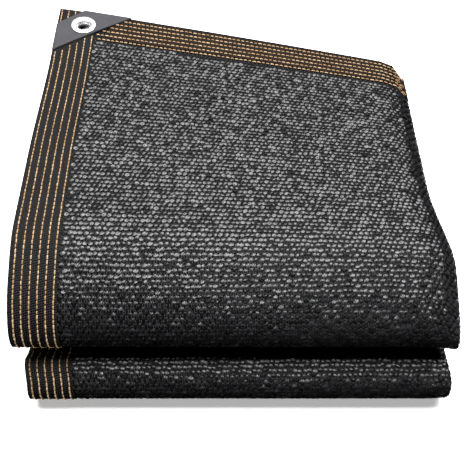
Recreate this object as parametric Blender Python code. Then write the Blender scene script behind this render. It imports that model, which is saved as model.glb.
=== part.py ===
"""A knitted shade cloth with bound edges and a set eyelet, folded into a flat pack.

The cloth is folded to and fro across its width into a bundle of seven layers, and the
bundle is then folded to and fro along its length into four. The pack has two rounded
folds at the front, one at the back, and the cloth's bound end on top at the back.
Metres, +Z up, +Y to the back. The pack stands on Z = 0 with its middle at the origin.
"""

import math

import bmesh
import bpy
from mathutils import Matrix, Vector

# Cloth and bundle, as they are before the pack settles
LAYERS = 7
SHEET = 0.0020
BUNDLE = 0.0300
TURN_GAP = 0.0020
PITCH = (BUNDLE - SHEET) / (LAYERS - 1)
TURN = TURN_GAP + BUNDLE
STACK = 4 * BUNDLE + 6 * TURN_GAP

# Where the cloth's free edge and its side folds lie across the pack, layer by layer
EDGE_X = (-0.1770, 0.1705, -0.1680, 0.1672, -0.1705, 0.1695, -0.1668, 0.1655)
LEFT, RIGHT = EDGE_X[0], EDGE_X[1]
WIDTH = RIGHT - LEFT
INNER_X = (-0.085, 0.030, 0.110, 0.146, 0.161)
SIDE_FOLD_STEPS = 3

# Where the bundle turns, front to back
UPPER_FRONT_Y = -0.133
LOWER_FRONT_Y = -0.152
REAR_TURN_Y = 0.112
TOP_END_Y = 0.191
BOTTOM_END_Y = 0.160
TURN_STEPS = 8
END_STAGGER = (0.0, -0.003, 0.001, -0.004, -0.001, -0.005, -0.002)

# Middle of the settled pack, which becomes the origin
CENTRE_X = 0.00234
CENTRE_Y = 0.00354

# Bindings lie in a rebate of the cloth, flush with it
BINDING_WIDTH = 0.038
BINDING_THICK = 0.0008
BINDING_GAP = 0.00045
REBATE = BINDING_THICK + BINDING_GAP
END_BAND = 0.0370

# Corner patch and eyelet
PATCH_LEG_X = 0.074
PATCH_LEG_Y = 0.065
PATCH_CLIP = 0.0255
PATCH_THICK = 0.0012
PATCH_LIFT = 0.0008
EYELET_FROM_SIDE = 0.0268
EYELET_FROM_END = 0.0240
EYELET_RADIUS = 0.0127
EYELET_HOLE = 0.0056
BARREL_RADIUS = 0.0064
HOLE_CLEARANCE = 0.0004
SEAT_GAP = 0.0003
WASHER_GAP = 0.0008
FLANGE_GAP = 0.0006
FLANGE_EDGE = 0.0004
FLANGE_RISE = 0.0014
THROAT_FLARE = 0.0026
WASHER_THICK = 0.0007
WASHER_INSET = 0.0010
LIP_REACH = 0.0014
LIP_DEPTH = 0.0006
CUTTER_BELOW = 0.0008
CUTTER_TOP = 0.0040
ROUND_STEPS = 32
PROBE_STEP = 0.004
CORNER_CLEARANCE = 0.002

# Heights over the middle of the lowest sheet, from the pack's front line to its back
TOP_AT_FRONT = 0.1237
TOP_AT_BACK = 0.1505
MIDDLE_AT_FRONT = 0.047
MIDDLE_AT_BACK = 0.059
FRONT_LINE = -0.131
RIGHT_SIDE_FALL = (0.003, 0.025)
MIDDLE_FALL_SHARE = 0.4
SIDE_ROUNDING = 0.026
SIDE_DROP = 0.016
FRONT_SLUMP = 0.026
SLUMP_Y = (-0.086, -0.171)
CORNER_LIFT = 0.0014
CORNER_LIFT_BACK = (0.75, 1.0)
CORNER_LIFT_ACROSS = (0.3, 0.0)

# How far the settled pack spreads and leans, and where each of these fades in
LEFT_FLARE = 0.0022
LEFT_FLARE_Y = (0.110, -0.010)
RIGHT_FLARE = 0.0105
RIGHT_FLARE_Y = (0.005, -0.115)
FLARE_LEVELS = (0.50, 0.64)
LOWER_SHIFT_LEFT = 0.0065
LOWER_SHIFT_RIGHT = 0.008
LOWER_LEVELS = (0.60, 0.35)
CLEFT_PINCH = 0.009
PINCH_FROM_ABOVE = (0.66, 0.54)
PINCH_FROM_BELOW = (0.46, 0.50)
BACK_EDGE_SKEW = 0.061
BACK_EDGE_BOW = 1.15
SKEW_LEVELS = (0.50, 0.75)


def clamp(t):
    return min(max(t, 0.0), 1.0)


def eased(value, span):
    """Eases from 0 to 1 as the value goes from the span's first number to its second."""
    t = clamp((value - span[0]) / (span[1] - span[0]))
    return t * t * (3 - 2 * t)


def share_across(x):
    """0 at the pack's left side and 1 at its right."""
    return clamp((x - LEFT) / WIDTH)


def settled_heights(x, y):
    """Heights of the pack's top and of the cleft between its two folds, over one place."""
    back = (y - FRONT_LINE) / (TOP_END_Y - FRONT_LINE)
    right = share_across(x)
    fall = (RIGHT_SIDE_FALL[0] + (RIGHT_SIDE_FALL[1] - RIGHT_SIDE_FALL[0]) * back) * right
    rounding = clamp((x - RIGHT + SIDE_ROUNDING) / SIDE_ROUNDING)
    top = TOP_AT_FRONT + (TOP_AT_BACK - TOP_AT_FRONT) * back - fall
    top -= SIDE_DROP * (1 - math.sqrt(1 - rounding * rounding))
    top -= FRONT_SLUMP * eased(y, SLUMP_Y)
    top += CORNER_LIFT * eased(back, CORNER_LIFT_BACK) * eased(right, CORNER_LIFT_ACROSS)
    middle = MIDDLE_AT_FRONT + (MIDDLE_AT_BACK - MIDDLE_AT_FRONT) * back - MIDDLE_FALL_SHARE * fall
    return top, middle


def settle(x, y, z):
    """Takes a point of the square, even stack to its place in the settled pack."""
    top, middle = settled_heights(x, y)
    half = (STACK - SHEET) / 2
    rise = z - SHEET / 2
    growth = (top / 2 - middle) / half**2
    height = SHEET / 2 + rise * (middle / half - growth * half) + growth * rise**2
    right = share_across(x)
    level = z / STACK
    flare = RIGHT_FLARE * eased(y, RIGHT_FLARE_Y) * right - LEFT_FLARE * eased(y, LEFT_FLARE_Y) * (1 - right)
    shift = LOWER_SHIFT_RIGHT * right + LOWER_SHIFT_LEFT * (1 - right)
    pinch = CLEFT_PINCH * eased(level, PINCH_FROM_ABOVE) * eased(level, PINCH_FROM_BELOW)
    sideways = flare * eased(level, FLARE_LEVELS) + shift * eased(level, LOWER_LEVELS)
    sideways += pinch * (1 - 2 * right)
    back = max(y - FRONT_LINE, 0.0) / (TOP_END_Y - FRONT_LINE)
    forward = BACK_EDGE_SKEW * right**BACK_EDGE_BOW * back * eased(level, SKEW_LEVELS)
    return Vector((x + sideways - CENTRE_X, y - forward - CENTRE_Y, height))


def path_point(leg, value, depth):
    """Place in the Y-Z plane of a layer that lies this deep below the bundle's outer face."""
    outer, inner = TURN - depth, TURN_GAP + depth
    upper_z, rear_z, lower_z = STACK - TURN, STACK / 2, TURN
    if leg == "top run":
        return value, STACK - depth
    if leg == "upper front turn":
        return UPPER_FRONT_Y - outer * math.sin(value), upper_z + outer * math.cos(value)
    if leg == "second run":
        return value, upper_z - outer
    if leg == "rear turn":
        return REAR_TURN_Y + inner * math.sin(value), rear_z + inner * math.cos(value)
    if leg == "third run":
        return value, rear_z - inner
    if leg == "lower front turn":
        return LOWER_FRONT_Y - outer * math.sin(value), lower_z + outer * math.cos(value)
    return value, lower_z - outer


def path_stations():
    """Stations along the folded bundle: leg, place on it, and end-binding flag."""
    rebate_end = TOP_END_Y - END_BAND
    stations = [
        ("top run", TOP_END_Y, True),
        ("top run", rebate_end, True),
        ("top run", rebate_end - SEAT_GAP, False),
    ]
    stations += [("top run", y, False) for y in (0.095, 0.030, -0.030, -0.062, -0.090, -0.113)]
    legs = (
        ("upper front turn", "second run", (-0.07, 0.02, 0.10)),
        ("rear turn", "third run", (0.08, 0.0, -0.08)),
        ("lower front turn", "bottom run", (-0.08, 0.01, 0.10, BOTTOM_END_Y)),
    )
    for turn, run, places in legs:
        stations += [(turn, math.pi * k / TURN_STEPS, False) for k in range(TURN_STEPS + 1)]
        stations += [(run, y, False) for y in places]
    return stations


def section_stations():
    """Stations across the bundle: layer, x, depth, the face's direction, and side-binding flag."""
    stations = []
    for layer in range(LAYERS):
        depth = SHEET / 2 + layer * PITCH
        rightward = layer % 2 == 0
        start, end = EDGE_X[layer], EDGE_X[layer + 1]
        facing = -1 if rightward else 1
        inner = [x for x in INNER_X if min(start, end) < x < max(start, end)]
        places = [start] + (inner if rightward else inner[::-1]) + [end]
        flags = [False] * len(places)
        if layer == 0:
            band_edge = LEFT + BINDING_WIDTH
            places[1:1] = [band_edge, band_edge + SEAT_GAP]
            flags[0:1] = [True, True, False]
        stations += [(layer, x, depth, (0, facing), f) for x, f in zip(places, flags)]
        if layer < LAYERS - 1:
            side = 1 if rightward else -1
            for k in range(1, SIDE_FOLD_STEPS):
                a = math.pi * k / SIDE_FOLD_STEPS
                across, down = math.sin(a), 1 - math.cos(a)
                x = end + side * PITCH / 2 * across
                out = (across, -math.cos(a) * side)
                part = layer + k / SIDE_FOLD_STEPS
                stations.append((part, x, depth + PITCH / 2 * down, out, False))
    return stations


def stagger(layer):
    """How far short of the pack's back this layer's end lies."""
    low = int(layer)
    high = min(low + 1, LAYERS - 1)
    share = layer - low
    return END_STAGGER[low] * (1 - share) + END_STAGGER[high] * share


def sheet_point(path_station, section_station, offset):
    """Settled place of a point of the cloth, offset from its middle towards its face."""
    leg, value, _ = path_station
    layer, x, depth, (out_x, out_depth), _ = section_station
    y, z = path_point(leg, value, depth)
    upper_y, upper_z = path_point(leg, value, depth - 1)
    facing = Vector((out_x, out_depth * (y - upper_y), out_depth * (z - upper_z)))
    if leg == "top run" and y > TOP_END_Y - 2 * END_BAND:
        y += stagger(layer)
    return settle(x, y, z) + facing * offset


def top_face(x, y):
    """Settled place on the pack's upper face."""
    return settle(x, y, STACK - SHEET / 2) + Vector((0, 0, SHEET / 2))


def material(name, colour, roughness, metallic=0.0):
    made = bpy.data.materials.new(name)
    made.use_nodes = True
    shader = made.node_tree.nodes["Principled BSDF"]
    shader.inputs["Base Color"].default_value = (*colour, 1)
    shader.inputs["Roughness"].default_value = roughness
    shader.inputs["Metallic"].default_value = metallic
    return made


def new_object(name, verts, faces, finish):
    """A closed solid with its faces pointing out, from points and polygons."""
    mesh = bpy.data.meshes.new(name)
    bm = bmesh.new()
    points = [bm.verts.new(v) for v in verts]
    for face in faces:
        bm.faces.new([points[i] for i in face])
    bmesh.ops.recalc_face_normals(bm, faces=bm.faces)
    bm.to_mesh(mesh)
    bm.free()
    mesh.materials.append(finish)
    made = bpy.data.objects.new(name, mesh)
    bpy.context.scene.collection.objects.link(made)
    return made


def ribbon(name, rows, finish):
    """A thin solid from a grid of (face point, back point) pairs, closed at all four rims."""
    count, width = len(rows), len(rows[0])
    verts = [point for row in rows for pair in row for point in pair]

    def index(i, j, side):
        return (i * width + j) * 2 + side

    faces = []
    for i in range(count - 1):
        for j in range(width - 1):
            for side in (0, 1):
                corners = ((i, j), (i, j + 1), (i + 1, j + 1), (i + 1, j))
                faces.append([index(a, b, side) for a, b in corners])
    rim = [(i, 0) for i in range(count)] + [(count - 1, j) for j in range(1, width)]
    rim += [(i, width - 1) for i in range(count - 2, -1, -1)] + [(0, j) for j in range(width - 2, 0, -1)]
    for (a, b), (c, d) in zip(rim, rim[1:] + rim[:1]):
        faces.append([index(a, b, 0), index(c, d, 0), index(c, d, 1), index(a, b, 1)])
    made = new_object(name, verts, faces, finish)
    made.data.shade_smooth()
    made.data.set_sharp_from_angle(angle=math.radians(40))
    return made


def cloth(finish):
    """The one-piece cloth, with its rebates for the bindings."""
    rows = []
    section = section_stations()
    for station in path_stations():
        row = []
        for across in section:
            bound = station[2] or across[4]
            face = SHEET / 2 - (REBATE if bound else 0.0)
            row.append((sheet_point(station, across, face), sheet_point(station, across, -SHEET / 2)))
        rows.append(row)
    return ribbon("cloth", rows, finish)


def binding_pair(station, across):
    """The two faces of a binding over one place of the cloth."""
    return (
        sheet_point(station, across, SHEET / 2),
        sheet_point(station, across, SHEET / 2 - BINDING_THICK),
    )


def side_binding(finish):
    """The binding along the cloth's side edge, from its back corner through every fold."""
    across = [s for s in section_stations() if s[4]]
    middle = list(across[0])
    middle[1] = (across[0][1] + across[1][1]) / 2
    across = [across[0], tuple(middle), across[1]]
    rows = [[binding_pair(station, s) for s in across] for station in path_stations()]
    return ribbon("side_binding", rows, finish)


def end_binding(finish):
    """The binding along the cloth's end, which follows the end through all the layers."""
    inner_edge = TOP_END_Y - END_BAND + 2 * SEAT_GAP
    along = [("top run", TOP_END_Y, True), ("top run", inner_edge, True)]
    across = [s for s in section_stations() if not s[4]]
    rows = [[binding_pair(station, s) for s in across] for station in along]
    return ribbon("end_binding", rows, finish)


def corner_frame(from_side, from_end):
    """Place and upright frame on the settled top, measured from the cloth's back corner."""
    x, y = LEFT + from_side, TOP_END_Y - from_end
    along_x = (top_face(x + PROBE_STEP, y) - top_face(x - PROBE_STEP, y)).normalized()
    along_y = top_face(x, y + PROBE_STEP) - top_face(x, y - PROBE_STEP)
    normal = along_x.cross(along_y).normalized()
    turn = Matrix((along_x, normal.cross(along_x), normal)).transposed()
    return Matrix.Translation(top_face(x, y)) @ turn.to_4x4()


def corner_patch(finish):
    """Three-cornered reinforcing patch with its outer corner cut off and a hole for the eyelet."""
    corners = [(0, PATCH_CLIP), (PATCH_CLIP, 0), (PATCH_LEG_X, 0), (0, PATCH_LEG_Y)]
    centre = (EYELET_FROM_SIDE, EYELET_FROM_END)
    outline = []
    for k in range(ROUND_STEPS):
        a = 2 * math.pi * k / ROUND_STEPS
        outline.append(outline_point(corners, centre, (math.cos(a), math.sin(a))))
    outline = with_corners(outline, corners, centre)
    rows = []
    for rim in outline:
        middle = [(centre[i] + rim[i]) / 2 for i in (0, 1)]
        frames = (hole_rim(rim), corner_frame(*middle), corner_frame(*rim))
        rows.append([(f.translation, f.col[2].xyz) for f in frames])
    return plate("corner_patch", rows, finish)


def hole_rim(towards):
    """Place on the rim of the patch's hole, on the side of a place on the patch's outline."""
    frame = corner_frame(EYELET_FROM_SIDE, EYELET_FROM_END)
    seen = frame.inverted() @ corner_frame(*towards).translation
    out = Vector((seen.x, seen.y, 0)).normalized() * (BARREL_RADIUS + HOLE_CLEARANCE)
    return Matrix.Translation(frame @ out - frame.translation) @ frame


def outline_point(corners, centre, direction):
    """Where a ray from the centre leaves the polygon."""
    best = None
    for (ax, ay), (bx, by) in zip(corners, corners[1:] + corners[:1]):
        ex, ey = bx - ax, by - ay
        cross = direction[0] * ey - direction[1] * ex
        if abs(cross) < 1e-9:
            continue
        distance = ((ax - centre[0]) * ey - (ay - centre[1]) * ex) / cross
        share = ((ax - centre[0]) * direction[1] - (ay - centre[1]) * direction[0]) / cross
        if distance > 0 and -1e-9 <= share <= 1 + 1e-9 and (best is None or distance < best):
            best = distance
    return (centre[0] + best * direction[0], centre[1] + best * direction[1])


def with_corners(outline, corners, centre):
    """The outline with the polygon's own corners put in, in order round the centre."""

    def bearing(place):
        return math.atan2(place[1] - centre[1], place[0] - centre[0])

    kept = [p for p in outline if all(math.dist(p, c) > CORNER_CLEARANCE for c in corners)]
    return sorted(kept + list(corners), key=bearing)


def plate(name, rows, finish):
    """A closed ring-shaped plate from rows of places and normals that run from its hole to its rim."""
    count, width = len(rows), len(rows[0])
    verts = []
    for row in rows:
        for base, normal in row:
            verts.append(base + normal * PATCH_LIFT)
            verts.append(base + normal * (PATCH_LIFT + PATCH_THICK))
    faces = []
    for i in range(count):
        near, far = i * width * 2, (i + 1) % count * width * 2
        for j in range(width - 1):
            for side in (0, 1):
                a, b = j * 2 + side, j * 2 + 2 + side
                faces.append([near + a, near + b, far + b, far + a])
        for j in (0, width - 1):
            faces.append([near + j * 2, near + j * 2 + 1, far + j * 2 + 1, far + j * 2])
    return new_object(name, verts, faces, finish)


def turned(name, profile, finish):
    """A solid of revolution about Z from a closed profile of (radius, height) points."""
    count = len(profile)
    verts, faces = [], []
    for k in range(ROUND_STEPS):
        a = 2 * math.pi * k / ROUND_STEPS
        verts += [(r * math.cos(a), r * math.sin(a), z) for r, z in profile]
        near, far = k * count, (k + 1) % ROUND_STEPS * count
        for i in range(count):
            j = (i + 1) % count
            faces.append([near + i, near + j, far + j, far + i])
    made = new_object(name, verts, faces, finish)
    made.data.shade_smooth()
    made.data.set_sharp_from_angle(angle=math.radians(35))
    return made


def eyelet_levels():
    """Heights at the eyelet, above the settled top: flange seat, washer top and lip."""
    seat = PATCH_LIFT + PATCH_THICK + FLANGE_GAP
    washer_top = -SHEET - WASHER_GAP
    lip = washer_top - WASHER_THICK - SEAT_GAP
    return seat, washer_top, lip


def eyelet(finish):
    """The eyelet: a domed flange on the patch, a barrel through the cloth, and a rolled lip."""
    seat, _, lip = eyelet_levels()
    profile = [
        (EYELET_HOLE, lip - LIP_DEPTH / 3),
        (EYELET_HOLE + LIP_DEPTH, lip - LIP_DEPTH),
        (BARREL_RADIUS + LIP_REACH, lip - LIP_DEPTH),
        (BARREL_RADIUS + LIP_REACH, lip),
        (BARREL_RADIUS, lip),
        (BARREL_RADIUS, seat),
        (EYELET_RADIUS - FLANGE_EDGE, seat),
        (EYELET_RADIUS, seat + FLANGE_EDGE),
        (EYELET_RADIUS - FLANGE_EDGE, seat + 2 * FLANGE_EDGE),
        (EYELET_RADIUS - THROAT_FLARE, seat + FLANGE_RISE),
        (EYELET_HOLE + THROAT_FLARE, seat + FLANGE_RISE),
        (EYELET_HOLE + THROAT_FLARE / 3, seat + 2 * FLANGE_EDGE),
        (EYELET_HOLE, seat - FLANGE_EDGE),
    ]
    made = turned("eyelet", profile, finish)
    made.matrix_world = corner_frame(EYELET_FROM_SIDE, EYELET_FROM_END)
    return made


def washer(finish):
    """The ring under the cloth that the eyelet's lip is rolled over."""
    _, top, _ = eyelet_levels()
    inner = BARREL_RADIUS + SEAT_GAP
    outer = EYELET_RADIUS - WASHER_INSET
    profile = [
        (inner, top - WASHER_THICK),
        (outer, top - WASHER_THICK),
        (outer, top),
        (inner, top),
    ]
    made = turned("eyelet_washer", profile, finish)
    made.matrix_world = corner_frame(EYELET_FROM_SIDE, EYELET_FROM_END)
    return made


def cut_eyelet_hole(targets, finish):
    """Cuts the eyelet's hole through the cloth's top layer and what is sewn to it."""
    _, washer_top, _ = eyelet_levels()
    radius = BARREL_RADIUS + HOLE_CLEARANCE
    verts, faces = [], []
    for k in range(ROUND_STEPS):
        a = 2 * math.pi * k / ROUND_STEPS
        x, y = radius * math.cos(a), radius * math.sin(a)
        verts += [(x, y, washer_top - CUTTER_BELOW), (x, y, CUTTER_TOP)]
        near, far = 2 * k, 2 * ((k + 1) % ROUND_STEPS)
        faces.append([near, far, far + 1, near + 1])
    faces.append(list(range(0, 2 * ROUND_STEPS, 2)))
    faces.append(list(range(1, 2 * ROUND_STEPS, 2)))
    cutter = new_object("eyelet_hole_cutter", verts, faces, finish)
    cutter.matrix_world = corner_frame(EYELET_FROM_SIDE, EYELET_FROM_END)
    cutter.hide_render = True
    cutter.display_type = "WIRE"
    for target in targets:
        cut = target.modifiers.new("Eyelet hole", "BOOLEAN")
        cut.operation = "DIFFERENCE"
        cut.solver = "EXACT"
        cut.object = cutter


def build():
    for old in list(bpy.data.objects):
        bpy.data.objects.remove(old)
    knit = material("Black knitted cloth", (0.02, 0.02, 0.022), 0.45)
    tape = material("Brown-black binding", (0.035, 0.028, 0.022), 0.6)
    vinyl = material("Grey vinyl patch", (0.11, 0.11, 0.12), 0.5)
    metal = material("Bright eyelet metal", (0.82, 0.82, 0.84), 0.25, metallic=1.0)
    sheet = cloth(knit)
    side = side_binding(tape)
    end_binding(tape)
    corner_patch(vinyl)
    eyelet(metal)
    washer(metal)
    cut_eyelet_hole((sheet, side), metal)


build()
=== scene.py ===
"""The folded shade cloth as it looks: knitted black net, stitched edge tapes, patch and eyelet."""

import math

import bpy
import numpy as np
from mathutils import Matrix, Vector

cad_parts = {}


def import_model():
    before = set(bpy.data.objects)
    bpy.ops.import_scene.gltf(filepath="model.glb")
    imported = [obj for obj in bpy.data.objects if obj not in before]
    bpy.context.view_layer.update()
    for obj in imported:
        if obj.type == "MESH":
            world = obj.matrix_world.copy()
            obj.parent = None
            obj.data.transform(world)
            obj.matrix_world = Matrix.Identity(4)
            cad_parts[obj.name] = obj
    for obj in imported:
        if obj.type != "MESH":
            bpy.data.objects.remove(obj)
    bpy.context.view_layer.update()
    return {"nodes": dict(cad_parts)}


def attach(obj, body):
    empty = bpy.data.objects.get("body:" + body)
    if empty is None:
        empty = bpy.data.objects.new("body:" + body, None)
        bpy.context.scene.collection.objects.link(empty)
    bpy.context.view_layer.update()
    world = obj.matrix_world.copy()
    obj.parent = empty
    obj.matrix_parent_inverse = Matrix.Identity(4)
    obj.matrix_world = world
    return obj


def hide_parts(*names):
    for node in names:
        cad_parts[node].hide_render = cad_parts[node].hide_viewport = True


# Camera, from the photo's perspective: 48 degrees down on the pack's front
CAMERA_PLACE = (-0.00234, -0.5335, 0.608)
CAMERA_DOWN = math.radians(48)
CAMERA_LENS = 61.4

# The fold, as the solids have it
LAYERS = 7
SHEET = 0.0020
BUNDLE = 0.0300
TURN_GAP = 0.0020
PITCH = (BUNDLE - SHEET) / (LAYERS - 1)
TURN = TURN_GAP + BUNDLE
STACK = 4 * BUNDLE + 6 * TURN_GAP
EDGE_X = (-0.1770, 0.1705, -0.1680, 0.1672, -0.1705, 0.1695, -0.1668, 0.1655)
LEFT, RIGHT = EDGE_X[0], EDGE_X[1]
WIDTH = RIGHT - LEFT
UPPER_FRONT_Y = -0.133
LOWER_FRONT_Y = -0.152
REAR_TURN_Y = 0.112
TOP_END_Y = 0.191
BOTTOM_END_Y = 0.160
END_STAGGER = (0.0, -0.003, 0.001, -0.004, -0.001, -0.005, -0.002)
STAGGER_START = 0.095
CENTRE_X = 0.00234
CENTRE_Y = 0.00354

# How the pack has settled, as the solids have it
TOP_AT_FRONT = 0.1237
TOP_AT_BACK = 0.1505
MIDDLE_AT_FRONT = 0.047
MIDDLE_AT_BACK = 0.059
FRONT_LINE = -0.131
RIGHT_SIDE_FALL = (0.003, 0.025)
MIDDLE_FALL_SHARE = 0.4
SIDE_ROUNDING = 0.026
SIDE_DROP = 0.016
FRONT_SLUMP = 0.026
SLUMP_Y = (-0.086, -0.171)
CORNER_LIFT = 0.0014
CORNER_LIFT_BACK = (0.75, 1.0)
CORNER_LIFT_ACROSS = (0.3, 0.0)
LEFT_FLARE = 0.0022
LEFT_FLARE_Y = (0.110, -0.010)
RIGHT_FLARE = 0.0105
RIGHT_FLARE_Y = (0.005, -0.115)
FLARE_LEVELS = (0.50, 0.64)
LOWER_SHIFT_LEFT = 0.0065
LOWER_SHIFT_RIGHT = 0.008
LOWER_LEVELS = (0.60, 0.35)
CLEFT_PINCH = 0.009
PINCH_FROM_ABOVE = (0.66, 0.54)
PINCH_FROM_BELOW = (0.46, 0.50)
BACK_EDGE_SKEW = 0.061
BACK_EDGE_BOW = 1.15
SKEW_LEVELS = (0.50, 0.75)

# Edge tapes, patch and eyelet
TAPE_WIDTH = 0.038
END_TAPE_WIDTH = 0.0370
TAPE_FACE = 0.0010
TAPE_BACK = 0.0002
PATCH_LEG_X = 0.074
PATCH_LEG_Y = 0.065
PATCH_CLIP = 0.0255
PATCH_THICK = 0.0012
PATCH_LIFT = 0.0008
EYELET_FROM_SIDE = 0.0268
EYELET_FROM_END = 0.0240

# The net: a thin sheet that carries the knit
NET_FACE = 0.0
NET_BACK = -0.0009
COLUMNS = 18
FOLD_STEPS = 6
TURN_STEPS = 20

# The knit, six needles to the inch
WALE = 0.00423
COURSE = 0.0042
ROW_WAVE = 0.0012
ROW_WAVE_RATE = 14.0
LOOP_WIDTH = 0.0011
LOOP_THICK = 0.0006
TAPE_LENGTH = 0.0039
TAPE_BREADTH = 0.0026
TAPE_ARCH = 0.0003
TAPE_CROWN = 0.0002
TAPE_LEAN = math.radians(-22)

# Six lines of stitching on each tape
STITCH_LINES = 6
THREAD_WIDTH = 0.0012
END_THREAD_WIDTH = 0.0017
THREAD_THICK = 0.0008
LINE_ALONG = (0.0, 0.07, 0.20, 0.34, 0.45)
LINE_INSET = (0.0026, 0.0036, 0.0042, 0.0044, 0.0040)
LINE_SPACING = (0.0068, 0.0066, 0.0064, 0.0062, 0.0062)
END_INSET = 0.0060
END_SPACING = 0.0058

# Tones, as stops of a ramp or as a dark and a light one
KNIT_TONES = ((0.0, (0.002, 0.002, 0.0024)), (0.7, (0.005, 0.005, 0.006)), (1.0, (0.016, 0.016, 0.018)))
# The net's tones are painted shade: darkest in the gaps between loops, lightest on the loop tops
NET_PAINTED_SHADE_TONES = ((0.0, (0.001, 0.001, 0.001)), (0.5, (0.003, 0.003, 0.003)), (1.0, (0.01, 0.01, 0.011)))
THREAD_TONES = ((0.0, (0.22, 0.13, 0.06)), (0.5, (0.30, 0.19, 0.10)), (1.0, (0.38, 0.27, 0.16)))
PATCH_TONES = ((0.3, (0.032, 0.032, 0.036)), (0.7, (0.040, 0.040, 0.044)))
METAL_TONES = ((0.3, (0.86, 0.86, 0.88)), (0.7, (0.93, 0.93, 0.94)))
SIDE_TAPE_TONES = ((0.0006, 0.0006, 0.0006), (0.006, 0.0056, 0.006))
END_TAPE_TONES = ((0.0012, 0.0006, 0.0004), (0.009, 0.005, 0.003))

# Stage
FLOOR_HALF = 6.0
FLOOR_HEIGHT = -0.0004
FLOOR_GLOW = 0.42
WORLD_GLOW = 0.9
LIGHT_HEIGHT = 1.6
LIGHT_X = 0.1

# How far the knit goes on past a fold, or stops short of the lower fold's end
FOLD_END_INSET = 0.012

rng = np.random.default_rng(7)


def eased(value, span):
    """Eases from 0 to 1 as the value goes from the span's first number to its second."""
    t = np.clip((value - span[0]) / (span[1] - span[0]), 0.0, 1.0)
    return t * t * (3 - 2 * t)


def settled_heights(x, y):
    """Heights of the pack's top and of the cleft between its two folds, over one place."""
    back = (y - FRONT_LINE) / (TOP_END_Y - FRONT_LINE)
    right = np.clip((x - LEFT) / WIDTH, 0, 1)
    fall = (RIGHT_SIDE_FALL[0] + (RIGHT_SIDE_FALL[1] - RIGHT_SIDE_FALL[0]) * back) * right
    rounding = np.clip((x - RIGHT + SIDE_ROUNDING) / SIDE_ROUNDING, 0, 1)
    top = TOP_AT_FRONT + (TOP_AT_BACK - TOP_AT_FRONT) * back - fall
    top = top - SIDE_DROP * (1 - np.sqrt(1 - rounding * rounding))
    top = top - FRONT_SLUMP * eased(y, SLUMP_Y)
    top = top + CORNER_LIFT * eased(back, CORNER_LIFT_BACK) * eased(right, CORNER_LIFT_ACROSS)
    middle = MIDDLE_AT_FRONT + (MIDDLE_AT_BACK - MIDDLE_AT_FRONT) * back - MIDDLE_FALL_SHARE * fall
    return top, middle


def settle(x, y, z):
    """Takes points of the square, even stack to their places in the settled pack."""
    x, y, z = np.broadcast_arrays(x, y, z)
    top, middle = settled_heights(x, y)
    half = (STACK - SHEET) / 2
    rise = z - SHEET / 2
    growth = (top / 2 - middle) / half**2
    height = SHEET / 2 + rise * (middle / half - growth * half) + growth * rise**2
    right = np.clip((x - LEFT) / WIDTH, 0, 1)
    level = z / STACK
    flare = RIGHT_FLARE * eased(y, RIGHT_FLARE_Y) * right - LEFT_FLARE * eased(y, LEFT_FLARE_Y) * (1 - right)
    shift = LOWER_SHIFT_RIGHT * right + LOWER_SHIFT_LEFT * (1 - right)
    pinch = CLEFT_PINCH * eased(level, PINCH_FROM_ABOVE) * eased(level, PINCH_FROM_BELOW)
    sideways = flare * eased(level, FLARE_LEVELS) + shift * eased(level, LOWER_LEVELS)
    sideways = sideways + pinch * (1 - 2 * right)
    back = np.maximum(y - FRONT_LINE, 0) / (TOP_END_Y - FRONT_LINE)
    forward = BACK_EDGE_SKEW * right**BACK_EDGE_BOW * back * eased(level, SKEW_LEVELS)
    return np.stack([x + sideways - CENTRE_X, y - forward - CENTRE_Y, height], -1)


def path_point(leg, value, depth):
    """Place in the Y-Z plane of layers that lie this deep below the bundle's outer face."""
    outer, inner = TURN - depth, TURN_GAP + depth
    upper_z, rear_z, lower_z = STACK - TURN, STACK / 2, TURN
    flat = np.full_like(depth, value)
    if leg == "top run":
        return flat, STACK - depth
    if leg == "upper front turn":
        return UPPER_FRONT_Y - outer * math.sin(value), upper_z + outer * math.cos(value)
    if leg == "second run":
        return flat, upper_z - outer
    if leg == "rear turn":
        return REAR_TURN_Y + inner * math.sin(value), rear_z + inner * math.cos(value)
    if leg == "third run":
        return flat, rear_z - inner
    if leg == "lower front turn":
        return LOWER_FRONT_Y - outer * math.sin(value), lower_z + outer * math.cos(value)
    return flat, lower_z - outer


def path_stations():
    """Close stations along the folded bundle, as (leg, place on it)."""
    turn = [math.pi * k / TURN_STEPS for k in range(TURN_STEPS + 1)]
    runs = (
        ("top run", TOP_END_Y, UPPER_FRONT_Y, 36),
        ("second run", UPPER_FRONT_Y, REAR_TURN_Y, 10),
        ("third run", REAR_TURN_Y, LOWER_FRONT_Y, 10),
        ("bottom run", LOWER_FRONT_Y, BOTTOM_END_Y, 12),
    )
    turns = ("upper front turn", "rear turn", "lower front turn")
    stations = []
    for number, (leg, start, end, count) in enumerate(runs):
        places = np.linspace(start, end, count + 1)
        first = 0 if number == 0 else 1
        last = count if number < 3 else count + 1
        stations += [(leg, float(y)) for y in places[first:last]]
        if number < 3:
            stations += [(turns[number], a) for a in turn]
    return stations


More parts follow.
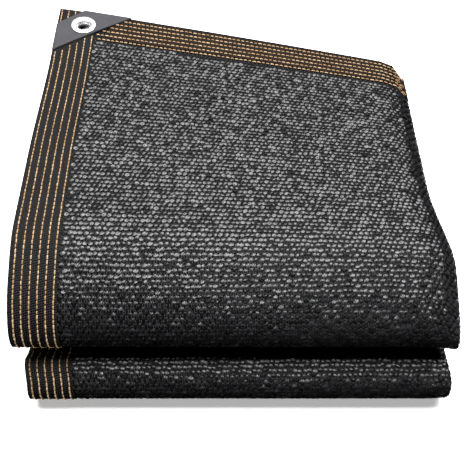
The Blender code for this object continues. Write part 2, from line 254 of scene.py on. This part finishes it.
def section_layers(first, last):
    """Layers of the bundle's section: layer, x, depth, the way its face looks, and distance across."""
    rows = []
    for layer in range(first, last + 1):
        depth = SHEET / 2 + layer * PITCH
        side = 1 if layer % 2 == 0 else -1
        start, end = EDGE_X[layer], EDGE_X[layer + 1]
        spread = np.sin(np.linspace(0, math.pi / 2, COLUMNS)) * 0.5 + np.linspace(0, 1, COLUMNS) * 0.5
        rows += [(layer, start + (end - start) * s, depth, 0.0, -side) for s in spread]
        if layer < LAYERS - 1:
            for k in range(1, FOLD_STEPS):
                a = math.pi * k / FOLD_STEPS
                x = end + side * PITCH / 2 * math.sin(a)
                down = depth + PITCH / 2 * (1 - math.cos(a))
                rows.append((layer + k / FOLD_STEPS, x, down, math.sin(a), -math.cos(a) * side))
    table = np.array(rows)
    steps = np.hypot(np.diff(table[:, 1]), np.diff(table[:, 2]))
    return np.column_stack([table, np.concatenate([[0], np.cumsum(steps)])])


def fold_grid(stations, section):
    """Places and facing directions of the cloth over every station and section point."""
    layer, x, depth, out_x, out_depth = section[:, :5].T
    stagger = np.interp(layer, range(LAYERS), END_STAGGER)
    places, facings = [], []
    for leg, value in stations:
        y, z = path_point(leg, value, depth)
        upper_y, upper_z = path_point(leg, value, depth - 1)
        facings.append(np.stack([out_x, out_depth * (y - upper_y), out_depth * (z - upper_z)], -1))
        if leg == "top run":
            share = (value - STAGGER_START) / (TOP_END_Y - END_TAPE_WIDTH - STAGGER_START)
            y = y + stagger * np.clip(share, 0, 1)
        places.append(settle(x, y, z))
    return np.array(places), np.array(facings)


# Meshes

def outward(verts, quads):
    """The quads, turned over if they face inwards."""
    a, b, c, d = (verts[quads[:, i]] for i in range(4))
    volume = np.einsum("ij,ij->i", a, np.cross(b, c)) + np.einsum("ij,ij->i", a, np.cross(c, d))
    return quads if volume.sum() > 0 else quads[:, ::-1]


def quad_mesh(name, verts, quads, finish, uv=None, smooth_angle=None):
    """An object from arrays of points and four-cornered faces."""
    mesh = bpy.data.meshes.new(name)
    mesh.vertices.add(len(verts))
    mesh.vertices.foreach_set("co", np.asarray(verts, np.float32).ravel())
    mesh.loops.add(quads.size)
    mesh.loops.foreach_set("vertex_index", quads.astype(np.int32).ravel())
    mesh.polygons.add(len(quads))
    mesh.polygons.foreach_set("loop_start", np.arange(0, quads.size, 4, dtype=np.int32))
    mesh.update(calc_edges=True)
    if uv is not None:
        layer = mesh.uv_layers.new(name="cloth")
        layer.uv.foreach_set("vector", uv[quads.ravel()].astype(np.float32).ravel())
    mesh.shade_smooth()
    if smooth_angle:
        mesh.set_sharp_from_angle(angle=math.radians(smooth_angle))
    mesh.materials.append(finish)
    made = bpy.data.objects.new(name, mesh)
    bpy.context.scene.collection.objects.link(made)
    return made


def ribbon(name, front, back, finish, uv):
    """A thin closed sheet from its two faces, given as grids of points."""
    rows, cols = front.shape[:2]
    count = rows * cols
    index = np.arange(count).reshape(rows, cols)
    corners = (index[:-1, :-1], index[:-1, 1:], index[1:, 1:], index[1:, :-1])
    face = np.stack(corners, -1).reshape(-1, 4)
    rim = np.concatenate([index[0], index[1:, -1], index[-1, -2::-1], index[-2:0:-1, 0]])
    after = np.roll(rim, -1)
    sides = np.stack([after, rim, rim + count, after + count], -1)
    quads = np.concatenate([face, face[:, ::-1] + count, sides])
    verts = np.concatenate([front.reshape(-1, 3), back.reshape(-1, 3)])
    flat = np.concatenate([uv.reshape(-1, 2)] * 2)
    return quad_mesh(name, verts, outward(verts, quads), finish, flat, smooth_angle=50)


def strand_template(line, width, thick):
    """Points and faces of one flattened strand along a line of (across, along, height) points."""
    line = np.array(line)
    tangent = np.gradient(line, axis=0)[:, :2]
    tangent /= np.linalg.norm(tangent, axis=1)[:, None]
    side = np.column_stack([-tangent[:, 1], tangent[:, 0], np.zeros(len(line))])
    up = np.array([0, 0, 1.0])
    taper = np.ones(len(line))
    taper[[0, -1]] = 0.6
    side = side * (taper * width / 2)[:, None]
    ring = [line + side, line + up * thick / 2, line - side, line - up * thick / 2]
    verts = np.stack(ring, 1).reshape(-1, 3)
    quads = []
    for i in range(len(line) - 1):
        for k in range(4):
            a, b = i * 4 + k, i * 4 + (k + 1) % 4
            quads.append((a, b, b + 4, a + 4))
    last = (len(line) - 1) * 4
    quads += [(3, 2, 1, 0), (last, last + 1, last + 2, last + 3)]
    return verts, outward(verts, np.array(quads))


class OuterFace:
    """The outer face of the top layer, as a surface with metric distances across and along."""

    def __init__(self, stations):
        section = section_layers(0, 1)
        keep = section[:, 0] < 1
        section = section[keep]
        self.stations = stations
        self.places, facing = fold_grid(stations, section)
        self.across = section[:, 5]
        middle = self.places[:, COLUMNS // 2]
        steps = np.linalg.norm(np.diff(middle, axis=0), axis=1)
        self.along = np.concatenate([[0], np.cumsum(steps)])
        normal = np.cross(np.gradient(self.places, axis=0), np.gradient(self.places, axis=1))
        normal /= np.linalg.norm(normal, axis=2)[:, :, None]
        sign = np.sign(np.einsum("ijk,ijk->ij", normal, facing))
        self.normals = normal * sign[:, :, None]

    def span(self, leg):
        """Distances along the face at which a leg of the fold starts and ends."""
        found = [self.along[i] for i, s in enumerate(self.stations) if s[0] == leg]
        return min(found), max(found)

    def at(self, across, along, height):
        """Places at these distances across and along the face, and this high over the sheet's middle."""
        i = np.clip(np.interp(along, self.along, np.arange(len(self.along))), 0, len(self.along) - 1.001)
        j = np.clip(np.interp(across, self.across, np.arange(len(self.across))), 0, len(self.across) - 1.001)
        row, col = i.astype(int), j.astype(int)
        s, t = (i - row)[..., None], (j - col)[..., None]

        def blend(grid):
            near = grid[row, col] * (1 - t) + grid[row, col + 1] * t
            far = grid[row + 1, col] * (1 - t) + grid[row + 1, col + 1] * t
            return near * (1 - s) + far * s

        return blend(self.places) + blend(self.normals) * height[..., None]


def scatter(face, template, spots, tilt, turn):
    """Copies of a strand on the face, each a little turned and tilted, as points and faces."""
    verts, quads = template
    count = len(spots)
    angle = rng.normal(0, turn, count)[:, None]
    lean_a, lean_b = rng.normal(0, tilt, (2, count, 1))
    a, b, h = verts.T[:, None, :]
    swell = rng.uniform(0.88, 1.12, (count, 1))
    across = (a * np.cos(angle) - b * np.sin(angle)) * swell
    along = (a * np.sin(angle) + b * np.cos(angle)) * swell
    height = h + lean_a * a + lean_b * b
    points = face.at(spots[:, :1] + across, spots[:, 1:2] + along, height)
    shift = (np.arange(count) * len(verts))[:, None, None]
    return points.reshape(-1, 3), (quads[None] + shift).reshape(-1, 4)


# Materials

class Shader:
    """A Principled material with short ways to add and join nodes."""

    def __init__(self, name):
        self.material = bpy.data.materials.new(name)
        self.material.use_nodes = True
        self.tree = self.material.node_tree
        self.body = self.tree.nodes["Principled BSDF"]

    def node(self, kind, **values):
        made = self.tree.nodes.new(kind)
        for name, value in values.items():
            setattr(made, name, value)
        return made

    def join(self, source, target):
        self.tree.links.new(source, target)

    def maths(self, operation, *terms):
        made = self.node("ShaderNodeMath", operation=operation)
        for socket, term in zip(made.inputs, terms):
            if hasattr(term, "links"):
                self.join(term, socket)
            else:
                socket.default_value = term
        return made.outputs[0]

    def ramp(self, source, stops):
        made = self.node("ShaderNodeValToRGB")
        self.join(source, made.inputs[0])
        elements = made.color_ramp.elements
        while len(elements) < len(stops):
            elements.new(0.5)
        for element, (place, colour) in zip(elements, stops):
            element.position = place
            element.color = (*colour, 1)
        return made.outputs[0]

    def uv(self):
        split = self.node("ShaderNodeSeparateXYZ")
        self.join(self.node("ShaderNodeUVMap", uv_map="cloth").outputs[0], split.inputs[0])
        return split.outputs[0], split.outputs[1]

    def noise(self, scale, detail=2.0):
        made = self.node("ShaderNodeTexNoise")
        made.inputs["Scale"].default_value = scale
        made.inputs["Detail"].default_value = detail
        self.join(self.node("ShaderNodeTexCoord").outputs["Object"], made.inputs["Vector"])
        return made.outputs[0]

    def bump(self, height, distance, strength=1.0):
        made = self.node("ShaderNodeBump")
        made.inputs["Distance"].default_value = distance
        made.inputs["Strength"].default_value = strength
        self.join(height, made.inputs["Height"])
        self.join(made.outputs[0], self.body.inputs["Normal"])

    def colour(self, source):
        self.join(source, self.body.inputs["Base Color"])

    def roughness(self, source):
        self.join(source, self.body.inputs["Roughness"])


def strand_material():
    """Black stretched-plastic tape, each reach with its own tone and gloss."""
    made = Shader("Knit tape")
    island = made.node("ShaderNodeNewGeometry").outputs["Random Per Island"]
    made.colour(made.ramp(island, KNIT_TONES))
    mixed = made.maths("FRACT", made.maths("MULTIPLY", island, 17.3))
    made.roughness(made.maths("MULTIPLY_ADD", mixed, 0.22, 0.2))
    made.bump(made.noise(2600.0), 0.0001, 0.5)
    made.body.inputs["Specular IOR Level"].default_value = 1.0
    return made.material


def loop_material():
    """The black chains of loops that lie under the tape."""
    made = Shader("Knit loops")
    made.body.inputs["Base Color"].default_value = (0.004, 0.004, 0.0045, 1)
    made.body.inputs["Roughness"].default_value = 0.4
    made.body.inputs["Specular IOR Level"].default_value = 0.3
    made.bump(made.noise(2600.0), 0.0001, 0.5)
    return made.material


def net_material():
    """The net between the modelled strands and on the hidden layers: staggered knit loops, with painted
    shade that darkens the colour from the loop tops into the gaps between loops.
    """
    made = Shader("Knitted net")
    u, v = made.uv()
    row = made.maths("DIVIDE", v, COURSE)
    odd = made.maths("MULTIPLY", made.maths("MODULO", made.maths("FLOOR", row), 2.0), 0.5)
    column = made.maths("ADD", made.maths("DIVIDE", u, WALE), odd)
    off_a = made.maths("SUBTRACT", made.maths("FRACT", column), 0.5)
    off_b = made.maths("SUBTRACT", made.maths("FRACT", row), 0.5)
    far = made.maths("ADD", made.maths("POWER", off_a, 2.0), made.maths("POWER", off_b, 2.0))
    height = made.maths("MAXIMUM", made.maths("MULTIPLY_ADD", far, -5.0, 1.0), 0.0)
    # Painted shade: the colour follows the loop height and darkens into the gaps between loops
    made.colour(made.ramp(height, NET_PAINTED_SHADE_TONES))
    made.roughness(made.maths("MULTIPLY_ADD", made.noise(900.0), 0.4, 0.3))
    made.body.inputs["Specular IOR Level"].default_value = 0.15
    made.bump(height, 0.0012)
    return made.material


def tape_material(name, dark, light):
    """Woven edge tape: fine slanting ribs."""
    made = Shader(name)
    u, v = made.uv()
    slant = made.maths("ADD", made.maths("MULTIPLY", u, 900.0), made.maths("MULTIPLY", v, 3300.0))
    rib = made.maths("MULTIPLY_ADD", made.maths("SINE", slant), 0.5, 0.5)
    thread = made.maths("MULTIPLY_ADD", made.maths("SINE", made.maths("MULTIPLY", u, 3900.0)), 0.5, 0.5)
    weave = made.maths("MULTIPLY", rib, made.maths("MULTIPLY_ADD", thread, 0.7, 0.3))
    speck = made.maths("MULTIPLY", weave, made.maths("MULTIPLY_ADD", made.noise(700.0), 2.2, -0.2))
    made.colour(made.ramp(speck, [(0.0, dark), (0.45, light), (1.0, tuple(3 * c for c in light))]))
    made.body.inputs["Roughness"].default_value = 0.5
    made.body.inputs["Specular IOR Level"].default_value = 0.1
    made.bump(weave, 0.0005)
    return made.material


def thread_material():
    """Tan stitching, a little uneven from stitch to stitch."""
    made = Shader("Tan stitching")
    island = made.node("ShaderNodeNewGeometry").outputs["Random Per Island"]
    made.colour(made.ramp(island, THREAD_TONES))
    made.body.inputs["Roughness"].default_value = 0.6
    made.body.inputs["Specular IOR Level"].default_value = 0.2
    made.bump(made.noise(3000.0), 0.0001, 0.6)
    return made.material


def patch_material():
    """Grey coated cloth with a faint grain."""
    made = Shader("Grey coated cloth")
    tone = made.noise(90.0, 4.0)
    made.colour(made.ramp(tone, PATCH_TONES))
    made.roughness(made.maths("MULTIPLY_ADD", made.noise(500.0), 0.2, 0.5))
    made.body.inputs["Specular IOR Level"].default_value = 0.12
    made.bump(made.noise(1500.0), 0.00015, 0.5)
    return made.material


def metal_material():
    """Bright pressed metal with fine marks."""
    made = Shader("Pressed metal")
    made.body.inputs["Metallic"].default_value = 1.0
    made.colour(made.ramp(made.noise(300.0), METAL_TONES))
    made.roughness(made.maths("MULTIPLY_ADD", made.noise(700.0), 0.12, 0.32))
    return made.material


# Pieces

def net_sheet(stations, finish):
    """The one-piece net, folded to and fro."""
    section = section_layers(0, LAYERS - 1)
    places, facing = fold_grid(stations, section)
    middle = places[:, COLUMNS // 2]
    steps = np.linalg.norm(np.diff(middle, axis=0), axis=1)
    along = np.concatenate([[0], np.cumsum(steps)])
    uv = np.stack(np.broadcast_arrays(section[None, :, 5], along[:, None]), -1)
    return ribbon("net_sheet", places + facing * NET_FACE, places + facing * NET_BACK, finish, uv)


def loop_template():
    """One knitted loop of a chain."""
    w, c = WALE, COURSE
    line = [
        (-0.08 * w, -0.60 * c, 0.0001),
        (-0.27 * w, -0.10 * c, 0.0004),
        (0.0, 0.38 * c, 0.0005),
        (0.27 * w, -0.10 * c, 0.0004),
        (0.08 * w, -0.60 * c, 0.0001),
    ]
    return strand_template(line, LOOP_WIDTH, LOOP_THICK)


def tape_template():
    """One arched reach of the glossy tape that is laid across a chain."""
    verts = []
    for share, breadth in ((-0.5, 0.4), (-0.27, 0.88), (0.0, 1.0), (0.27, 0.88), (0.5, 0.4)):
        base = 0.0002 + TAPE_ARCH * (1 - (2 * share) ** 2)
        half = TAPE_BREADTH / 2 * breadth
        rise = TAPE_CROWN * breadth
        for off, up in ((-half, 0.0), (-half / 3, rise), (half / 3, rise), (half, 0.0)):
            across = share * TAPE_LENGTH * math.cos(TAPE_LEAN) - off * math.sin(TAPE_LEAN)
            along = share * TAPE_LENGTH * math.sin(TAPE_LEAN) + off * math.cos(TAPE_LEAN)
            verts.append((across, along, base + up))
    quads = [(3, 2, 1, 0), (16, 17, 18, 19)]
    for i in range(4):
        for k in range(4):
            a, b = i * 4 + k, i * 4 + (k + 1) % 4
            quads.append((a, b, b + 4, a + 4))
    verts = np.array(verts)
    return verts, outward(verts, np.array(quads))


def knit(face, tape_finish, loop_finish):
    """Chains of loops with glossy tape across them, over the parts of the net that show."""
    top_start = face.span("top run")[0] + END_TAPE_WIDTH
    nose_start, nose_end = face.span("upper front turn")
    lower_start, lower_end = face.span("lower front turn")
    middle = (top_start + nose_start) / 2
    zones = (
        ("top_back", top_start + 0.0005, middle),
        ("top_front", middle, nose_start),
        ("upper_fold", nose_start, nose_end + FOLD_END_INSET),
        ("lower_fold", lower_start - FOLD_END_INSET, lower_end - FOLD_END_INSET),
    )
    first = TAPE_WIDTH + 0.0006
    last = face.across[-1]
    made = []
    for name, start, end in zones:
        spots = []
        for row in range(math.ceil(start / COURSE), math.ceil(end / COURSE)):
            places = np.arange(first + WALE * (0.5 + 0.5 * (row % 2)), last, WALE)
            wave = ROW_WAVE * np.sin(places * ROW_WAVE_RATE + 0.8)
            spots.append(np.column_stack([places, row * COURSE + wave]))
        spots = np.concatenate(spots)
        spots = spots[spots[:, 1] > top_start + 0.0015]
        spots = spots + rng.normal(0, 0.00022, spots.shape)
        verts, quads = scatter(face, tape_template(), spots, 0.17, 0.16)
        made.append(quad_mesh("knit_tape_" + name, verts, quads, tape_finish, smooth_angle=40))
        verts, quads = scatter(face, loop_template(), spots + (0, -0.25 * COURSE), 0.05, 0.1)
        made.append(quad_mesh("knit_loops_" + name, verts, quads, loop_finish))
    return made


def side_tape(face, finish):
    """The edge tape down the left side, through every fold."""
    keep = np.linspace(0, TAPE_WIDTH, 9)
    across, along = np.meshgrid(keep, face.along)
    front = face.at(across, along, np.full_like(across, TAPE_FACE))
    back = face.at(across, along, np.full_like(across, TAPE_BACK))
    return ribbon("side_tape", front, back, finish, np.stack([across, along], -1))


def end_tape(stations, finish):
    """The edge tape along the top end, through every layer."""
    section = section_layers(0, LAYERS - 1)
    section = section[section[:, 5] > TAPE_WIDTH + 0.0003]
    fine = [("top run", TOP_END_Y - END_TAPE_WIDTH * k / 6) for k in range(7)]
    places, facing = fold_grid(fine, section)
    along = np.array([TOP_END_Y - y for _, y in fine])
    uv = np.stack(np.broadcast_arrays(along[:, None], section[None, :, 5]), -1)
    return ribbon("end_tape", places + facing * TAPE_FACE, places + facing * TAPE_BACK, finish, uv)


def stitch_template(length, width):
    """One stitch, arched over the tape."""
    places = (-0.5, -0.35, 0.0, 0.35, 0.5)
    lift = (0.0, 0.0004, 0.0006, 0.0004, 0.0)
    line = [(0.0, p * length, TAPE_FACE - 0.0002 + h) for p, h in zip(places, lift)]
    return strand_template(line, width, THREAD_THICK)


def turned_template(template):
    """The same strand laid across the face."""
    verts, quads = template
    verts = verts[:, [1, 0, 2]]
    return verts, outward(verts, quads)


def clear_of_patch(spots):
    """The stitches that the corner patch doesn't cover, from (from side, from end) places."""
    side, end = spots[:, 0], spots[:, 1]
    covered = (side / PATCH_LEG_X + end / PATCH_LEG_Y < 0.96) & (side + end > PATCH_CLIP + 0.002)
    return spots[~covered]


def side_stitching(face, finish):
    """Six close lines of stitches down the side tape, drawn together towards the front."""
    length, gap = 0.0034, 0.0004
    end = face.span("lower front turn")[1] - FOLD_END_INSET
    spots = []
    for line in range(STITCH_LINES):
        places = np.arange(0.0008 + length / 2 + rng.uniform(0, 0.001), end, length + gap)
        inset = np.interp(places, LINE_ALONG, LINE_INSET)
        spacing = np.interp(places, LINE_ALONG, LINE_SPACING)
        spots.append(np.column_stack([inset + line * spacing, places]))
    spots = clear_of_patch(np.concatenate(spots))
    spots = spots + rng.normal(0, 0.00008, spots.shape)
    verts, quads = scatter(face, stitch_template(length, THREAD_WIDTH), spots, 0.02, 0.03)
    return quad_mesh("side_stitching", verts, quads, finish)


def end_stitching(face, finish):
    """Six lines of spaced stitches along the end tape."""
    length, gap = 0.0034, 0.0010
    spots = []
    for line in range(STITCH_LINES):
        start = TAPE_WIDTH + 0.003 + rng.uniform(0, length)
        places = np.arange(start, WIDTH - length / 2, length + gap)
        spots.append(np.column_stack([places, np.full_like(places, END_INSET + line * END_SPACING)]))
    spots = clear_of_patch(np.concatenate(spots))
    spots = spots + rng.normal(0, 0.0001, spots.shape)
    template = turned_template(stitch_template(length, END_THREAD_WIDTH))
    verts, quads = scatter(face, template, spots, 0.02, 0.03)
    return quad_mesh("end_stitching", verts, quads, finish)


def cut_eyelet_hole(targets):
    """Cuts the eyelet's hole through the top layer of the net and what is sewn to it."""
    radius, low, high = 0.0067, -0.0034, 0.004
    matrix = corner_frame(EYELET_FROM_SIDE, EYELET_FROM_END)
    bpy.ops.mesh.primitive_cylinder_add(vertices=64, radius=radius, depth=high - low)
    cutter = bpy.context.object
    cutter.matrix_world = matrix @ Matrix.Translation((0, 0, (high + low) / 2))
    for target in targets:
        cut = target.modifiers.new("Eyelet hole", "BOOLEAN")
        cut.operation = "DIFFERENCE"
        cut.solver = "EXACT"
        cut.object = cutter
        shape = target.evaluated_get(bpy.context.evaluated_depsgraph_get())
        mesh = bpy.data.meshes.new_from_object(shape)
        target.modifiers.clear()
        target.data = mesh
    bpy.data.objects.remove(cutter)


def top_face(x, y):
    """A place on the upper face of the top layer."""
    place = settle(x, y, STACK - SHEET / 2)
    return Vector([float(c) for c in place]) + Vector((0, 0, SHEET / 2))


def corner_frame(from_side, from_end):
    """Place and upright frame on the settled top, measured from the cloth's back corner."""
    x, y = LEFT + from_side, TOP_END_Y - from_end
    step = 0.004
    along_x = (top_face(x + step, y) - top_face(x - step, y)).normalized()
    along_y = top_face(x, y + step) - top_face(x, y - step)
    normal = along_x.cross(along_y).normalized()
    turn = Matrix((along_x, normal.cross(along_x), normal)).transposed()
    return Matrix.Translation(top_face(x, y)) @ turn.to_4x4()


def lathe(name, profile, finish, steps=96):
    """A turned solid on the eyelet's axis from a closed outline of (radius, height)."""
    frame_here = corner_frame(EYELET_FROM_SIDE, EYELET_FROM_END)
    outline = np.array(profile)
    angle = np.arange(steps) * 2 * math.pi / steps
    ring = np.stack([
        np.outer(np.cos(angle), outline[:, 0]),
        np.outer(np.sin(angle), outline[:, 0]),
        np.outer(np.ones(steps), outline[:, 1]),
    ], -1)
    matrix = np.array(frame_here)
    verts = ring.reshape(-1, 3) @ matrix[:3, :3].T + matrix[:3, 3]
    count = len(outline)
    index = np.arange(steps * count).reshape(steps, count)
    near, far = index, np.roll(index, -1, axis=0)
    quads = np.stack([near, np.roll(near, -1, axis=1), np.roll(far, -1, axis=1), far], -1).reshape(-1, 4)
    return quad_mesh(name, verts, outward(verts, quads), finish, smooth_angle=50)


def rounded(points):
    """A closed outline with its corners softened by cutting them twice."""
    outline = np.array(points)
    for _ in range(2):
        after = np.roll(outline, -1, axis=0)
        outline = np.stack([outline * 0.75 + after * 0.25, outline * 0.25 + after * 0.75], 1).reshape(-1, 2)
    return outline


def eyelet(finish):
    """The eyelet's domed flange, its flared throat, its barrel and its rolled lip."""
    seat = PATCH_LIFT + PATCH_THICK
    lip = -0.0041
    profile = [
        (0.0050, lip), (0.0080, lip), (0.0080, lip + 0.0005), (0.0064, lip + 0.0005),
        (0.0064, seat), (0.0123, seat), (0.0127, seat + 0.0005), (0.0121, seat + 0.0011),
        (0.0107, seat + 0.0015), (0.0090, seat + 0.0015), (0.0076, seat + 0.0009),
        (0.0062, seat - 0.0004), (0.0052, seat - 0.0022),
    ]
    return lathe("eyelet_ring", rounded(profile), finish)


def corner_patch(finish):
    """The clipped three-cornered patch, with softened edges and a round hole."""
    corners = np.array([(0, PATCH_CLIP), (PATCH_CLIP, 0), (PATCH_LEG_X, 0), (0, PATCH_LEG_Y)])
    centre = np.array([EYELET_FROM_SIDE, EYELET_FROM_END])
    outline = []
    for start, end in zip(corners, np.roll(corners, -1, axis=0)):
        length = np.linalg.norm(end - start)
        inset = 0.0012 / length
        shares = np.concatenate([[inset], np.linspace(0.06, 0.94, 14), [1 - inset]])
        outline += [start + (end - start) * s for s in shares]
    hole = 0.0068
    frame_here = corner_frame(*centre)
    back_again = frame_here.inverted()
    rows = []
    for rim in outline:
        seen = back_again @ corner_frame(*rim).translation
        out = Vector((seen.x, seen.y, 0)).normalized() * hole
        ring = [(frame_here @ out, frame_here.col[2].xyz)]
        for share in (0.3, 0.6, 0.85):
            place = corner_frame(*(centre + (rim - centre) * share))
            ring.append((place.translation, place.col[2].xyz))
        edge = corner_frame(*rim)
        inner = corner_frame(*(rim + (centre - rim) / np.linalg.norm(centre - rim) * 0.0008))
        ring.append((inner.translation, inner.col[2].xyz))
        low, high = PATCH_LIFT, PATCH_LIFT + PATCH_THICK
        line = [p + n * high for p, n in ring]
        line.append(edge.translation + edge.col[2].xyz * (high - 0.0005))
        line.append(edge.translation + edge.col[2].xyz * (low - 0.0006))
        line += [p + n * low for p, n in reversed(ring)]
        rows.append([tuple(p) for p in line])
    verts = np.array(rows)
    steps, count = verts.shape[:2]
    index = np.arange(steps * count).reshape(steps, count)
    far = np.roll(index, -1, axis=0)
    quads = np.stack([index, np.roll(index, -1, axis=1), np.roll(far, -1, axis=1), far], -1).reshape(-1, 4)
    verts = verts.reshape(-1, 3)
    return quad_mesh("patch", verts, outward(verts, quads), finish, smooth_angle=60)


# Stage

def camera():
    data = bpy.data.cameras.new("camera")
    data.lens = CAMERA_LENS
    data.clip_start = 0.01
    made = bpy.data.objects.new("camera", data)
    made.location = CAMERA_PLACE
    made.rotation_euler = (math.pi / 2 - CAMERA_DOWN, 0, 0)
    bpy.context.scene.collection.objects.link(made)
    bpy.context.scene.camera = made


def area_light(name, place, target, sizes, power):
    data = bpy.data.lights.new(name, "AREA")
    data.shape = "RECTANGLE"
    data.size, data.size_y = sizes
    data.energy = power
    made = bpy.data.objects.new(name, data)
    made.location = place
    made.rotation_euler = (Vector(target) - Vector(place)).to_track_quat("-Z", "Y").to_euler()
    bpy.context.scene.collection.objects.link(made)


def studio():
    """A pale floor, a pale surround and two soft lights overhead."""
    floor = Shader("Pale floor")
    floor.body.inputs["Base Color"].default_value = (0.85, 0.85, 0.85, 1)
    floor.body.inputs["Roughness"].default_value = 0.9
    floor.body.inputs["Specular IOR Level"].default_value = 0.0
    floor.body.inputs["Emission Color"].default_value = (1, 1, 1, 1)
    floor.body.inputs["Emission Strength"].default_value = FLOOR_GLOW
    sides = ((-1, -1), (1, -1), (1, 1), (-1, 1))
    verts = np.array([(FLOOR_HALF * x, FLOOR_HALF * y, FLOOR_HEIGHT) for x, y in sides])
    plane = quad_mesh("floor", verts, np.array([[0, 1, 2, 3]]), floor.material)
    plane.visible_glossy = False
    world = bpy.data.worlds.new("studio")
    bpy.context.scene.world = world
    world.use_nodes = True
    world.node_tree.nodes["Background"].inputs[0].default_value = (1, 1, 1, 1)
    world.node_tree.nodes["Background"].inputs[1].default_value = WORLD_GLOW
    world.cycles_visibility.diffuse = False
    world.cycles_visibility.glossy = False
    for name, y, depth, power in (("key", 0.75, 2.4, 62), ("crest", -0.05, 0.7, 74)):
        area_light(name, (LIGHT_X, y, LIGHT_HEIGHT), (LIGHT_X, y, 0.1), (2.2, depth), power)
    bpy.context.scene.view_settings.view_transform = "Standard"


def main():
    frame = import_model()
    camera()
    studio()
    stations = path_stations()
    face = OuterFace(stations)
    net, thread, metal = net_material(), thread_material(), metal_material()
    side_look = tape_material("Side tape", *SIDE_TAPE_TONES)
    end_look = tape_material("End tape", *END_TAPE_TONES)

    sheet = net_sheet(stations, net)
    side = side_tape(face, side_look)
    cut_eyelet_hole([sheet, side])
    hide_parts("cloth")
    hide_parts("side_binding")
    loops = knit(face, strand_material(), loop_material())
    end = end_tape(stations, end_look)
    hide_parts("end_binding")
    stitching = [side_stitching(face, thread), end_stitching(face, thread)]
    patch = corner_patch(patch_material())
    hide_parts("corner_patch")
    ring = eyelet(metal)
    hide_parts("eyelet")
    washer = frame["nodes"]["eyelet_washer"]
    washer.material_slots[0].material = metal

    for piece in [sheet, side, end, patch, ring] + loops + stitching:
        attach(piece, "root")


main()
